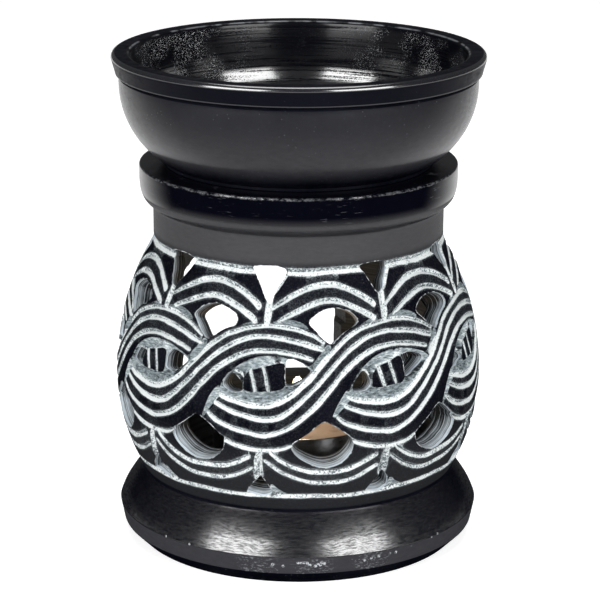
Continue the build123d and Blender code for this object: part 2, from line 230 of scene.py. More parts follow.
# Places (x, y, z) of small chips on the foot's edge, of scuffs on its band, and of gritty patches on it
CHIPS = [(-28, -27.6, 5.1), (-22.8, -32, 5.1), (29.9, -25.5, 5.1), (28.6, -26.8, 4.9), (24, -30.8, 4.4)]
SCUFFS = [
    (0.2, -39.2, 3.8), (0.8, -39.2, 3.75), (1.4, -39.2, 3.8), (2.1, -39.1, 3.7), (2.6, -39, 3.2),
    (3.8, -38.8, 3), (4.3, -38.9, 3.4), (4.8, -38.8, 3.2), (5.1, -38.8, 3.7), (5.7, -38.7, 3.5),
    (-5.2, -38.6, 3.3), (-3, -38.9, 3), (14.2, -36.4, 3.3), (15.6, -36, 3.6), (17.2, -35.2, 3.8),
    (19.5, -34, 4), (20.8, -33.2, 3.9),
]
GRITTY = [(-8.5, -38.1, 3.5), (3.5, -39.0, 3.4), (15.5, -35.8, 3.5)]

# The arched doorway, as in the part's source
DOOR_TURN, DOOR_HALF, DOOR_SILL, DOOR_TOP = radians(200.5), 21.5, 22.0, 60.0
DOOR_SPRING = DOOR_TOP - DOOR_HALF
DOOR_ROOM = 1.2

# The stand's materials by number: carved outside, filed openings, bored chamber
SKIN, FILED, BORED = range(3)

# Parts of the stand as heights (low, high, softness of the ends)
DRUM, LOW_DRUM, NECK = (14.0, 66.0, 0.4), (14.0, 40.0, 0.3), (66.0, 75.6, 1.2)
COLLAR, COLLAR_EDGE, COLLAR_LIP = (75.0, 81.2, 0.3), (80.5, 80.95, 0.10), (80.4, 81.2, 0.12)
BAND, SHOULDER = (1.15, 4.92, 0.06), (5.05, 13.2, 0.15)

# Colours of the stone and its fillings
BLACK, CLOUD, MOTTLE = (0.0018, 0.0021, 0.0044), (0.0050, 0.0054, 0.0090), (0.013, 0.014, 0.019)
# The pale worn colour marks real wear and also paints a highlight along the collar's top edge
SPECK, WORN_AND_HIGHLIGHT, GRAIN = (0.30, 0.31, 0.33), (0.55, 0.57, 0.60), (0.022, 0.023, 0.027)
WAXED, RIM_WAXED, HOLLOW_WAXED = (0.0012, 0.0014, 0.0036), (0.0018, 0.0021, 0.0046), (0.0020, 0.0022, 0.0038)
NECK_TONES, LOW_TONE = ((0.016, 0.016, 0.019), (0.038, 0.038, 0.041)), (0.038, 0.039, 0.040)
BAND_TONES = (0.028, 0.028, 0.033), (0.050, 0.050, 0.055)
SIDE_TONES = (0.018, 0.018, 0.021), (0.050, 0.049, 0.053)
# The grey and the thin chalk colours are partly painted shade, on groove walls that face down
CHALK, SHADED_GREY_CHALK = (0.74, 0.77, 0.77), (0.28, 0.32, 0.33)
SHADED_THIN_CHALK, CHALK_EDGE = (0.09, 0.10, 0.11), (0.34, 0.38, 0.39)
SMUDGE, RIM_LINE = (0.17, 0.19, 0.20), (0.56, 0.59, 0.60)
BARE, POWDER, THICK_POWDER = (0.014, 0.016, 0.019), (0.27, 0.32, 0.34), (0.76, 0.80, 0.81)
WAX_IOR = 2.2


def outer_radius(z):
    """Outer radius of the drum and neck at heights z."""
    z = np.asarray(z, float)
    low = BELLY_R - LOW_ARC + np.sqrt(np.maximum(LOW_ARC ** 2 - (z - BELLY_Z) ** 2, 0))
    up = BELLY_R - UP_ARC + np.sqrt(np.maximum(UP_ARC ** 2 - (z - BELLY_Z) ** 2, 0))
    cove = NECK_R + FILLET - np.sqrt(np.maximum(FILLET ** 2 - (FILLET_Z - z) ** 2, 0))
    r = np.where(z < BELLY_Z, low, up)
    r = np.where(z > FILLET_LOW, cove, r)
    return np.where(z > FILLET_Z, NECK_R, r)


def inner_radius(z):
    """Radius of the chamber and the bore at heights z."""
    z = np.asarray(z, float)
    low = IN_R - IN_LOW_ARC + np.sqrt(np.maximum(IN_LOW_ARC ** 2 - (z - BELLY_Z) ** 2, 0))
    up = IN_R - IN_UP_ARC + np.sqrt(np.maximum(IN_UP_ARC ** 2 - (z - BELLY_Z) ** 2, 0))
    r = np.where(z < BELLY_Z, low, up)
    return np.where(z > BORE_END, BORE_R, r)


def smooth(rows, step, closed=False):
    """Even Catmull-Rom resampling of rows of numbers whose first two are a place in millimetres."""
    p = np.asarray(rows, float)
    ends = (p[-1], p[:2]) if closed else (2 * p[0] - p[1], 2 * p[-1] - p[-2])
    p = np.vstack([ends[0], p, ends[1]])
    t = np.linspace(0, 1, 24, endpoint=False)[:, None]
    dense = []
    for a, b, c, d in zip(p, p[1:], p[2:], p[3:]):
        square, cube = 2 * a - 5 * b + 4 * c - d, 3 * b - a - 3 * c + d
        dense.append(0.5 * (2 * b + (c - a) * t + square * t ** 2 + cube * t ** 3))
    dense = np.vstack(dense + [p[-2][None]])
    length = np.concatenate([[0], np.cumsum(np.hypot(*np.diff(dense[:, :2], axis=0).T))])
    count = max(3, int(round(length[-1] / step)) + 1)
    places = np.linspace(0, length[-1], count)
    out = np.stack([np.interp(places, length, column) for column in dense.T], 1)
    return out[:-1] if closed else out


def drawn(rows, closed=True):
    """Smooth line in millimetres through rows of (u, z, ...)."""
    p = np.asarray(rows, float).copy()
    p[:, 0] *= PER_DEGREE
    return smooth(p, LINE_STEP, closed)


GROOVE_LINES = {name: drawn(rows, closed=False) for name, rows in GROOVES.items()}
HOLE_LINES = {name: drawn(rows) for name, rows in HOLES.items()}
OWN_HOLE_LINES = {key: drawn(rows) for key, rows in HOLES_BY_UNIT.items()}
HOLLOW_LINES = {name: drawn(rows) for name, (rows, *_) in HOLLOWS.items()}
BAR_LINES = [drawn(BARS_BY_UNIT.get(number, BAR)) for number in range(REPEATS)]


def hole_line(name, number):
    """Outline of one opening in one unit."""
    return OWN_HOLE_LINES.get((name, number), HOLE_LINES[name])


def sides(line):
    """Unit normals to the left of an open line."""
    d = np.gradient(line[:, :2], axis=0)
    d /= np.maximum(np.hypot(d[:, 0], d[:, 1])[:, None], 1e-9)
    return np.stack([-d[:, 1], d[:, 0]], 1)


def outward(line):
    """Unit normals that point out of a closed outline."""
    x, y = line.T
    clockwise = np.sum(x * np.roll(y, -1) - np.roll(x, -1) * y) < 0
    return sides(np.vstack([line[-1], line, line[0]]))[1:-1] * (1 if clockwise else -1)


def groove_outline(line):
    """Closed outline of a groove with round ends, from its centre line and half widths."""
    n = sides(line)
    left = line[:, :2] + n * line[:, 2:3]
    right = line[:, :2] - n * line[:, 2:3]
    caps = []
    for end, sign in ((0, -1), (-1, 1)):
        along = np.array([n[end, 1], -n[end, 0]]) * sign
        turns = [pi / 2 - pi * k / 4 for k in (1, 2, 3)]
        caps.append([line[end, :2] + line[end, 2] * (cos(a) * along + sin(a) * n[end]) for a in turns])
    return np.vstack([left, caps[1], right[::-1], caps[0][::-1]])


def segment_distance(points, a, b, wa=0.0, wb=0.0):
    """Distance from each point to the nearest segment from a to b, less its half width there."""
    best = np.full(len(points), 1e9)
    d = b - a
    dd = np.maximum((d * d).sum(1), 1e-12)
    at_once = 4000
    for i in range(0, len(points), at_once):
        p = points[i:i + at_once, None, :]
        t = np.clip(((p - a) * d).sum(2) / dd, 0, 1)
        gap = p - (a + t[..., None] * d)
        best[i:i + at_once] = (np.hypot(gap[..., 0], gap[..., 1]) - (wa + t * (wb - wa))).min(1)
    return best


def inside(points, outline):
    """True for each point inside a closed outline."""
    x, y = points[:, 0], points[:, 1]
    result = np.zeros(len(points), bool)
    for (x0, y0), (x1, y1) in zip(outline, np.roll(outline, -1, axis=0)):
        crosses = (y0 > y) != (y1 > y)
        with np.errstate(divide="ignore", invalid="ignore"):
            at = (x1 - x0) * (y - y0) / (y1 - y0) + x0
        result ^= crosses & (x < at)
    return result


def signed(points, outline):
    """Distance to a closed outline, positive inside it, and FAR well away from it."""
    near = ((points > outline.min(0) + FAR) & (points < outline.max(0) - FAR)).all(1)
    out = np.full(len(points), FAR)
    if near.any():
        p = points[near]
        d = segment_distance(p, outline, np.roll(outline, -1, axis=0))
        out[near] = np.where(inside(p, outline), d, -d)
    return out


def over_units(points, function):
    """Largest value of a distance function over a unit and its two neighbours."""
    return np.max([function(points + (shift, 0)) for shift in (-UNIT_MM, 0, UNIT_MM)], axis=0)


def hole_cut(name, number):
    """Angle and height at which one opening is cut, its share of the slope, and its reach."""
    u, z, share, reach = HOLE_CUTS[name]
    return FIRST_EYE + UNIT * number + u, z, share, reach


def clears_door(name, number):
    """True where the doorway leaves room for an opening."""
    angle, z, share, reach = hole_cut(name, number)
    turn = radians(angle) - DOOR_TURN
    if cos(turn) < 0:
        return True
    across = float(outer_radius(z)) * sin(turn)
    room = reach + DOOR_ROOM
    if z > DOOR_SPRING:
        return hypot(across, z - DOOR_SPRING) > DOOR_HALF + room
    return abs(across) > DOOR_HALF + room or z < DOOR_SILL - room


def rounded(d, half, deep):
    """Depth of a groove with a round bottom, from the distance into it."""
    share = np.clip(d / half, 0, 1)
    return deep * share * (2 - share)


def lens_paleness(height, within, bar):
    """How pale the dust in a lens is: more so near its lower edge, and above near its bar."""
    high = np.clip((height - 44.2) / 2.0, 0, 1)
    low = np.clip((42.8 - height) / 1.6, 0, 1)
    by_bar = np.exp(-np.maximum(-bar, 0) / 0.38)
    by_edge = np.exp(-np.maximum(within, 0) / 0.35)
    return 0.08 + low * (0.34 + 0.16 * by_edge) + high * (0.40 + 0.50 * by_bar)


def carving(phi, z):
    """Depth of the carving, distance into the white filling, distance into the dust, and its paleness."""
    turn = np.degrees(phi) - FIRST_EYE + UNIT / 2
    number = np.floor(turn / UNIT).astype(int) % REPEATS
    points = np.stack([(turn % UNIT - UNIT / 2) * PER_DEGREE, z], 1)
    depth, pale = np.zeros((2, len(points)))
    white, dust = np.full((2, len(points)), FAR)
    for name, (rows, deep, slope, tone) in HOLLOWS.items():
        line = HOLLOW_LINES[name]
        d = over_units(points, lambda p: signed(p, line))
        floor = deep * np.clip(d / slope, 0, 1)
        if name == "lens":
            bar = np.full(len(points), FAR)
            for n, own in enumerate(BAR_LINES):
                bar[number == n] = signed(points[number == n], own)
            floor = np.where(d > 0, np.minimum(floor, np.maximum(-bar * 2.4, BAR_GROOVE_DEPTH)), 0)
            shade = lens_paleness(z, d, bar)
            d = np.minimum(d, -bar)
            tone = np.where(d > 0, shade, tone)
        depth = np.maximum(depth, floor)
        pale = np.where(d > dust, tone, pale)
        dust = np.maximum(dust, d)
    for name, line in GROOVE_LINES.items():
        a, b = line[:-1], line[1:]
        d = over_units(points, lambda p: -segment_distance(p, a[:, :2], b[:, :2], a[:, 2], b[:, 2]))
        cut = rounded(d, line[:, 2].max(), GROOVE_DEPTHS.get(name, GROOVE_DEPTH))
        if name in ("bar_left", "bar_right"):
            cut[d > 0] += BAR_GROOVE_DEPTH
        depth, white = np.maximum(depth, cut), np.maximum(white, d)
    for middle, half in BORDERS:
        d = half - np.abs(z - middle)
        depth, white = np.maximum(depth, rounded(d, half, BORDER_DEPTH)), np.maximum(white, d)
    return depth, white, dust, pale


def plane_map(phi, z):
    """Conformal picture of a band as a flat ring, so that it has no seam."""
    rho = BELLY_R * np.exp((np.asarray(z) - WAIST_Z) / BELLY_R)
    return np.stack([rho * np.cos(phi), rho * np.sin(phi)], 1)


def plane_unmap(points):
    """Angle and height for places in the flat ring."""
    phi = np.arctan2(points[:, 1], points[:, 0])
    return phi, WAIST_Z + BELLY_R * np.log(np.hypot(points[:, 0], points[:, 1]) / BELLY_R)


class Drawing:
    """Points and joined lines on a band, to be triangulated together."""

    def __init__(self):
        self.phi, self.z, self.edges, self.count = [], [], [], 0

    def add(self, phi, z, joined=False, closed=False):
        """Adds points, joined in a line or a closed loop, and returns their indices."""
        start, n = self.count, len(phi)
        self.phi.append(np.asarray(phi, float))
        self.z.append(np.asarray(z, float))
        self.count += n
        if joined or closed:
            self.edges += [(start + i, start + i + 1) for i in range(n - 1)]
        if closed:
            self.edges.append((start + n - 1, start))
        return np.arange(start, start + n)

    def add_line(self, eye, line, joined=False, closed=False):
        """Adds a line drawn in millimetres from an eye."""
        return self.add(eye + line[:, 0] / BELLY_R, line[:, 1], joined, closed)

    def rolled_out(self):
        """Places of all points so far, in millimetres along the belly and up."""
        return np.stack([(np.concatenate(self.phi) % (2 * pi)) * BELLY_R, np.concatenate(self.z)], 1)

    def triangulate(self):
        """Angles, heights, triangles, their middles in the flat ring and each added point's new index."""
        places = plane_map(np.concatenate(self.phi), np.concatenate(self.z))
        result = delaunay_2d_cdt([Vector(p) for p in places.tolist()], self.edges, [], 0, 2e-4, True)
        phi, z = plane_unmap(np.array([tuple(v) for v in result[0]], float))
        where = np.full(self.count, -1)
        for new, olds in enumerate(result[3]):
            where[olds] = new
        faces = np.array(result[2], int)
        return phi, z, faces, plane_map(phi, z)[faces].mean(1), where


def clear_of(phi, z, lines, keep):
    """The places, given as angles and heights, that keep away from the drawn lines."""
    taken = {}
    for x, y in lines:
        taken.setdefault((int(x // keep), int(y // keep)), []).append((x, y))
    clear = []
    for i, (x, y) in enumerate(zip(phi * BELLY_R, z)):
        cx, cy = int(x // keep), int(y // keep)
        near = any(
            (x - a) ** 2 + (y - b) ** 2 < keep * keep
            for dx in (-1, 0, 1) for dy in (-1, 0, 1) for a, b in taken.get((cx + dx, cy + dy), ())
        )
        if not near:
            clear.append(i)
    return phi[clear], z[clear]


def beside_points(lines):
    """Points just outside each groove and opening, so that what is drawn at their edges stays there."""
    grooves = [groove_outline(line + (0, 0, 0.34)) for line in GROOVE_LINES.values()]
    phis, zs = [], []
    for number, eye in enumerate(EYES):
        holes = [hole_line(name, number) for name in HOLES]
        for line in grooves + [line + outward(line) * LINE_STEP for line in holes]:
            phis.append((eye + line[::2, 0] / BELLY_R) % (2 * pi))
            zs.append(line[::2, 1])
    return clear_of(np.concatenate(phis), np.concatenate(zs), lines, 0.30)


def far_points(low, high, step, lines, keep):
    """Staggered points on a band that keep away from the drawn lines."""
    rows = ceil((high - low) / (step * sqrt(0.75)))
    count = int(2 * pi * BELLY_R / step)
    phi = [(np.arange(count) + 0.5 * (row % 2)) * 2 * pi / count for row in range(1, rows)]
    z = [np.full(count, low + (high - low) * row / rows) for row in range(1, rows)]
    return clear_of(np.concatenate(phi), np.concatenate(z), lines, keep)


def door_outline(step):
    """Points (across, height) round the arched doorway."""
    def spaced(start, end, length):
        return np.linspace(start, end, int(length / step))

    upright = DOOR_SPRING - DOOR_SILL
    arch = [(DOOR_HALF * cos(a), DOOR_SPRING + DOOR_HALF * sin(a)) for a in spaced(0, pi, pi * DOOR_HALF)]
    down = [(-DOOR_HALF, z) for z in spaced(DOOR_SPRING, DOOR_SILL, upright)[1:]]
    sill = [(x, DOOR_SILL) for x in spaced(-DOOR_HALF, DOOR_HALF, 2 * DOOR_HALF)[1:]]
    up = [(DOOR_HALF, z) for z in spaced(DOOR_SILL, DOOR_SPRING, upright)[1:-1]]
    return np.array(arch + down + sill + up)


def boundary_loops(faces):
    """Ordered loops of vertices along the open edges of oriented triangles."""
    half = np.concatenate([faces[:, [0, 1]], faces[:, [1, 2]], faces[:, [2, 0]]])
    known = set(map(tuple, half.tolist()))
    nxt = {a: b for a, b in known if (b, a) not in known}
    loops = []
    while nxt:
        start, here = next(iter(nxt.items()))
        loop = [start]
        del nxt[start]
        while here != start:
            loop.append(here)
            here = nxt.pop(here)
        loops.append(loop)
    return loops


def wander(phi, z):
    """Small hand made slips of the carving, along the wall and up, in millimetres."""
    # Without a seed, noise_vector gives other values in each run
    noise.seed_set(SLIP_SEED)
    out = np.zeros((len(phi), 2))
    for i, (a, h) in enumerate(zip(phi, z)):
        p = Vector((3.6 * cos(a), 3.6 * sin(a), h / 11))
        v = noise.noise_vector(p)
        w = noise.noise_vector(p * 4.3 + Vector((9, 3, 5)))
        out[i] = (SLIP * v.x + SMALL_SLIP * w.x, SLIP * v.y + SMALL_SLIP * w.y)
    fade = np.clip((z - WAIST_Z - 1) / 3, 0, 1) * np.clip((FINE_TOP - z) / 3, 0, 1)
    return out * fade[:, None]


def in_space(phi, r, z):
    """Places in the CAD frame for angles, radii and heights."""
    return np.stack([r * np.sin(phi), -r * np.cos(phi), z], 1)


def angle_of(places):
    """Angles of places in the CAD frame."""
    return np.arctan2(places[:, 0], -places[:, 1])


def from_eye(phi, eye, z):
    """Places in millimetres along the belly from an eye, and up."""
    return np.stack([((phi - eye + pi) % (2 * pi) - pi) * BELLY_R, z], 1)


def outer_surface():
    """The carved outside of the drum and neck: places, triangles, facts, and its lowest and highest rings."""
    draw = Drawing()
    low, high = (draw.add(RING, np.full(TURNS, z), closed=True) for z in (WAIST_Z, COLLAR_Z))
    door = door_outline(0.6)
    draw.add(DOOR_TURN + np.arcsin(door[:, 0] / outer_radius(door[:, 1])), door[:, 1], closed=True)
    for z, half in BORDERS:
        for height in (z - half, z, z + half):
            around = np.arange(BORDER_TURNS) * 2 * pi / BORDER_TURNS
            draw.add(around, np.full(BORDER_TURNS, height), closed=True)
    for number, eye in enumerate(EYES):
        for line in GROOVE_LINES.values():
            draw.add_line(eye, line, joined=True)
            draw.add_line(eye, groove_outline(line), closed=True)
        holes = [hole_line(name, number) for name in HOLES]
        for line in holes + list(HOLLOW_LINES.values()) + [BAR_LINES[number]]:
            draw.add_line(eye, line, closed=True)
        for name, (rows, deep, slope, tone) in HOLLOWS.items():
            line = HOLLOW_LINES[name]
            foot = line - outward(line) * slope
            draw.add_line(eye, foot[signed(foot, line) > slope * 0.9])
    lines = draw.rolled_out()
    beside = beside_points(lines)
    draw.add(*beside)
    lines = np.concatenate([lines, np.stack([beside[0] * BELLY_R, beside[1]], 1)])
    draw.add(*far_points(WAIST_Z, FINE_TOP, 1.25, lines, 0.62))
    draw.add(*far_points(FINE_TOP, COLLAR_Z, 2.2, lines, 1.0))
    phi, z, faces, middles, where = draw.triangulate()

    mid_phi, mid_z = plane_unmap(middles)
    keep = mid_z > WAIST_Z + 0.001
    from_door = mid_phi - DOOR_TURN
    arch = np.stack([outer_radius(mid_z) * np.sin(from_door), mid_z], 1)
    keep &= ~(inside(arch, door_outline(0.1)) & (np.cos(from_door) > 0))
    depth, white, dust, pale = carving(phi, z)
    blind, rim = np.full((2, len(phi)), FAR)
    for number, eye in enumerate(EYES):
        for name in HOLES:
            line = hole_line(name, number)
            d = signed(from_eye(phi, eye, z), line)
            rim = np.maximum(rim, d)
            if clears_door(name, number):
                keep &= ~inside(from_eye(mid_phi, eye, mid_z), line)
            else:
                blind = np.maximum(blind, d)
    depth = np.maximum(depth, RECESS_DEPTH * np.clip(blind / RECESS_SLOPE, 0, 1))
    facts = {"white_mm": white, "dust_mm": np.maximum(dust, blind), "pale": pale, "rim_mm": rim}

    slip = wander(phi, z)
    phi = phi + slip[:, 0] / BELLY_R
    z = z + slip[:, 1]
    slope = (outer_radius(z + 0.05) - outer_radius(z - 0.05)) / 0.1
    size = np.sqrt(1 + slope ** 2)
    places = in_space(phi, outer_radius(z) - depth / size, z + depth * slope / size)
    return places, faces[keep], facts, where[low], where[high]


def through_wall(points, direction):
    """Where rays from the outside reach the chamber's wall."""
    t = np.zeros(len(points))
    for step in range(60):
        p = points + t[:, None] * direction
        t += 0.7 * (np.hypot(p[:, 0], p[:, 1]) - inner_radius(p[:, 2]))
    return points + t[:, None] * direction


def inward_direction(centre):
    """Direction in which the opening at this centre is cut through the wall, and how much it widens."""
    angle = degrees(atan2(centre[0], -centre[1])) % 360

    def miss(hole):
        turn, z, share, reach = hole_cut(*hole)
        return hypot(((turn - angle + 180) % 360 - 180) * PER_DEGREE, z - centre[2])

    name, number = min(((name, number) for number in range(REPEATS) for name in HOLE_CUTS), key=miss)
    turn, z, share, reach = hole_cut(name, number)
    turn = radians(turn + HOLE_TURNS.get((name, number), 0.0))
    slope = asin((z - BELLY_Z) / (UP_ARC if z > BELLY_Z else LOW_ARC)) * share
    outwards = np.array([sin(turn) * cos(slope), -cos(turn) * cos(slope), sin(slope)])
    return -outwards, FLARES.get(name, 1.0)


def opening_end(places):
    """Inner end of an opening or the doorway from the loop of its outer end, and the kind of its wall."""
    centre = places.mean(0)
    ahead = np.array([sin(DOOR_TURN), -cos(DOOR_TURN), 0])
    across = np.array([cos(DOOR_TURN), sin(DOOR_TURN), 0])
    if abs(centre @ across) < 4 and centre @ ahead > 0 and len(places) > 120:
        side = places @ across
        along = np.sqrt(inner_radius(places[:, 2]) ** 2 - side ** 2)
        end = side[:, None] * across + along[:, None] * ahead
        end[:, 2] = places[:, 2]
        return end, BORED
    direction, flare = inward_direction(centre)
    # Beside the doorway an opening narrows inwards, so that the two don't run into each other
    for narrower in (1.0, 0.85, 0.7, 0.55):
        end = through_wall(centre + (places - centre) * flare * narrower, direction)
        aside = np.stack([end @ across, end[:, 2]], 1)
        if not (inside(aside, door_outline(0.5) * 1.03 - (0, 1.2)) & (end @ ahead > 0)).any():
            break
    return end, FILED


class Shell:
    """The stand's mesh, put together from its outside, loops, bands and fans, with its point facts."""

    def __init__(self, places, triangles, facts):
        self.places, self.triangles, self.kinds = [places], [triangles], [np.full(len(triangles), SKIN)]
        self.facts = {name: [value] for name, value in facts.items()}
        self.facts["through"] = [np.zeros(len(places))]
        self.count = len(places)

    def add_points(self, places, through=0.0):
        """Adds points away from the carving, this far through the wall, and returns their indices."""
        for name, parts in self.facts.items():
            parts.append(np.full(len(places), {"through": through, "pale": 0.0}.get(name, FAR)))
        self.places.append(places)
        self.count += len(places)
        return np.arange(self.count - len(places), self.count)

    def add_faces(self, triangles, kind):
        self.triangles.append(triangles)
        self.kinds.append(np.full(len(triangles), kind))

    def add_band(self, a, b, kind):
        """Joins two loops of equal length. a's direction gives the facing."""
        a2, b2 = np.roll(a, -1), np.roll(b, -1)
        self.add_faces(np.concatenate([np.stack([a, a2, b2], 1), np.stack([a, b2, b], 1)]), kind)

    def lathe(self, profile, ring, kind, turned=False):
        """Carries a ring on along a profile and returns the last ring. turned swaps the facing."""
        for r, z in profile:
            new = self.add_points(in_space(RING, np.full(TURNS, r), np.full(TURNS, z)))
            self.add_band(*((new, ring) if turned else (ring, new)), kind)
            ring = new
        return ring

    def cap(self, ring, height, kind, turned=False):
        """Closes a ring by a fan to a point on the axis."""
        tip = self.add_points(np.array([[0.0, 0.0, height]]))
        fan = np.stack([ring, np.full(TURNS, tip[0]), np.roll(ring, -1)], 1)
        self.add_faces(fan if turned else fan[:, ::-1], kind)


def carved_shell():
    """One closed mesh of the stand."""
    outer, faces, facts, low, high = outer_surface()
    shell = Shell(outer, faces[:, ::-1], facts)
    inner = Drawing()
    inner_low, inner_high = (inner.add(RING, np.full(TURNS, z), closed=True) for z in (FLOOR_Z, COLLAR_Z))
    rings = (set(low), set(high))
    openings = []
    for loop in boundary_loops(faces):
        if set(loop) not in rings:
            end, kind = opening_end(outer[loop])
            openings.append((np.array(loop), end, inner.add(angle_of(end), end[:, 2], closed=True), kind))
    inner.add(*far_points(FLOOR_Z, COLLAR_Z, 3.0, inner.rolled_out(), 1.6))
    phi, z, faces, middles, where = inner.triangulate()
    keep = plane_unmap(middles)[1] > FLOOR_Z + 0.001
    for loop, end, index, kind in openings:
        keep &= ~inside(middles, plane_map(angle_of(end), end[:, 2]))
    where += shell.count
    shell.add_faces(faces[keep] + shell.count, BORED)
    shell.add_points(in_space(phi, inner_radius(z), z), 1.0)

    for loop, end, index, kind in openings:
        last = loop
        for t in WALL_STEPS:
            new = shell.add_points(outer[loop] + (end - outer[loop]) * t, t)
            shell.add_band(last, new, kind)
            last = new
        shell.add_band(last, where[index], kind)
    shell.cap(shell.lathe(foot_profile(), low, SKIN, turned=True), -SOLE, SKIN, turned=True)
    shell.add_band(shell.lathe(collar_profile(), high, SKIN), where[inner_high], SKIN)
    floor_line = run_on([(FLOOR_R, FLOOR_Z)], (2.0, FLOOR_Z, 5))[1:]
    shell.cap(shell.lathe(floor_line, where[inner_low], BORED), FLOOR_Z, BORED)
    return shell


def arc(centre, radius, start, end, count):
    """Points along an arc, angles in degrees, the first one left out."""
    angles = np.radians(np.linspace(start, end, count + 1))[1:]
    return [(centre[0] + radius * cos(a), centre[1] + radius * sin(a)) for a in angles]


def run_on(points, *steps):
    """Carries a profile on by straight lines to places (radius, height), each with its count of points."""
    for r, z, count in steps:
        a, b = points[-1]
        points = points + [(a + (r - a) * k / count, b + (z - b) * k / count) for k in range(1, count + 1)]
    return points


def curved(*places):
    """Points along a smooth curve, the first one left out."""
    return [tuple(p) for p in smooth(places, 0.4).tolist()[1:]]


def foot_profile():
    """Profile from the waist's crease down over the foot and under it."""
    shoulder = curved(
        (WAIST_R, WAIST_Z), (34.5, 13.1), (35.8, 11.4), (37, 9.7), (38.1, 8), (38.85, 6.5), (39.4, 5.1),
    )
    under = [(38.61, 1.2, 5), (38.52, 1.02, 1), (35.58, -1.92, 4), (35.5, -SOLE, 1), (2, -SOLE, 4)]
    return run_on(shoulder, (39.36, 4.9, 1), *under)


def collar_profile():
    """Profile from the top of the neck out round the collar and in to its bore."""
    ogee = curved(
        (NECK_R, COLLAR_Z), (31.45, 71.9), (31.7, 72.35), (32.25, 72.75), (32.95, 73.3), (33.55, 74.1),
        (33.95, 75.1), (34.2, 76.3), (COLLAR_R, 77.6),
    )
    edge = run_on(ogee, (COLLAR_R, 80.6, 3)) + arc((33.9, 80.6), 0.4, 0, 90, 5)
    return run_on(edge, (27.3, COLLAR_TOP, 4), (27.08, 80.92, 1), (BORE_R, 80.7, 1), (BORE_R, 74.5, 3))


def build(name, places, triangles, kinds=None, facts=None, sharp=None):
    """Mesh object from places in millimetres, with smooth faces and point facts."""
    mesh = bpy.data.meshes.new(name)
    mesh.vertices.add(len(places))
    mesh.vertices.foreach_set("co", ((places + (0, 0, SOLE)) * MM).astype(np.float32).ravel())
    good = (triangles != np.roll(triangles, 1, axis=1)).all(1)
    triangles = triangles[good]
    mesh.loops.add(3 * len(triangles))
    mesh.loops.foreach_set("vertex_index", triangles.astype(np.int32).ravel())
    mesh.polygons.add(len(triangles))
    mesh.polygons.foreach_set("loop_start", np.arange(0, 3 * len(triangles), 3, dtype=np.int32))
    if kinds is not None:
        mesh.polygons.foreach_set("material_index", kinds[good].astype(np.int32))
    mesh.polygons.foreach_set("use_smooth", np.ones(len(triangles), bool))
    mesh.update(calc_edges=True)
    mesh.validate()
    for fact, values in (facts or {}).items():
        mesh.attributes.new(fact, "FLOAT", "POINT").data.foreach_set("value", values.astype(np.float32))
    if sharp:
        mesh.set_sharp_from_angle(angle=radians(sharp))
    obj = bpy.data.objects.new(name, mesh)
    bpy.context.scene.collection.objects.link(obj)
    return obj


def tube(turns, levels):
    """Triangles of a closed mesh of a first point, rings of turns points each, and a last point."""
    around = np.arange(turns)
    after = (around + 1) % turns
    triangles = [np.stack([np.zeros(turns, int), 1 + after, 1 + around], 1)]
    for low in range(1, 1 + (levels - 1) * turns, turns):
        a, a2, b, b2 = low + around, low + after, low + turns + around, low + turns + after
        triangles += [np.stack([a, a2, b2], 1), np.stack([a, b2, b], 1)]
    last = 1 + (levels - 1) * turns
    triangles.append(np.stack([last + around, last + after, np.full(turns, last + turns)], 1))
    return np.concatenate(triangles)


def turned(name, profile, sharp=None, turns=TURNS, marks=None):
    """Closed mesh turned from a profile of (radius, height) that starts and ends on the axis.

    marks gives facts as one number for each point of the profile.
    """
    ring = np.arange(turns) * 2 * pi / turns
    rings = [in_space(ring, np.full(turns, r), np.full(turns, z)) for r, z in profile[1:-1]]
    ends = [np.array([[0, 0, z]]) for z in (profile[0][1], profile[-1][1])]
    facts = {
        fact: np.concatenate([values[:1], np.repeat(values[1:-1], turns), values[-1:]])
        for fact, values in (marks or {}).items()
    }
    places = np.concatenate([ends[0], *rings, ends[1]])
    return build(name, places, tube(turns, len(rings)), facts=facts, sharp=sharp)


def bowl():
    """The bowl, turned from under its spigot, up its side and over the rim, then down its marked hollow."""
    height, drop, side_r, side_top = 16.8, 9.6, 38.4, 98.5
    swell = bulge(height, drop)
    points = run_on([(0, 78.5)], (26.1, 78.5, 3)) + [(26.5, 78.9), (26.5, 80.9)]
    points += [(27.5, COLLAR_TOP), (28.5, COLLAR_TOP), (28.8, 81.15), (28.8, 81.7)]
    points += arc((side_r - swell, side_top), swell, -degrees(asin(height / swell)), 0, 22)
    points += [(38.4, 99.2), (38.35, 99.85), (38.05, 100.15), (37.95, 100.35), (38.2, 100.55)]
    points += [(38.95, 100.62), (39.12, 100.75), (39.2, 101.1)]
    points = run_on(points, (40, 104, 5)) + arc((39, 104), 1, 0, 90, 6)
    points = run_on(points, (36.8, 105, 3))
    hollow = run_on(arc((36.9, 104), 1, 90, 180, 6), (35.15, 96.4, 7)) + arc((23.15, 96.4), 12, 0, -90, 20)
    hollow = run_on(hollow, (1, 84.4, 10), (0, 84.4, 1))
    marks = {"hollow": np.repeat([0.0, 1.0], [len(points), len(hollow)])}
    return turned("bowl", points + hollow, 34, marks=marks)


def cup():
    """The tea light's cup with its rolled lip."""
    points = [(0, 9), (8, 9), (17.2, 9), (18, 9.08), (18.45, 9.4), (18.52, 10.2), (18.58, 12), (18.66, 12.3)]
    points += [(18.64, 12.7), (18.72, 15), (18.82, 19.5), (18.88, 22.6)]
    points += arc((19.05, 23.6), 0.32, 215, 0, 8) + arc((19.05, 23.6), 0.4, 20, 150, 6)
    points += [(18.5, 23.2), (18.4, 22.4), (18.2, 15), (18.05, 9.9), (17.6, 9.5), (8, 9.5), (0, 9.5)]
    return turned("cup", points, 40, 160)


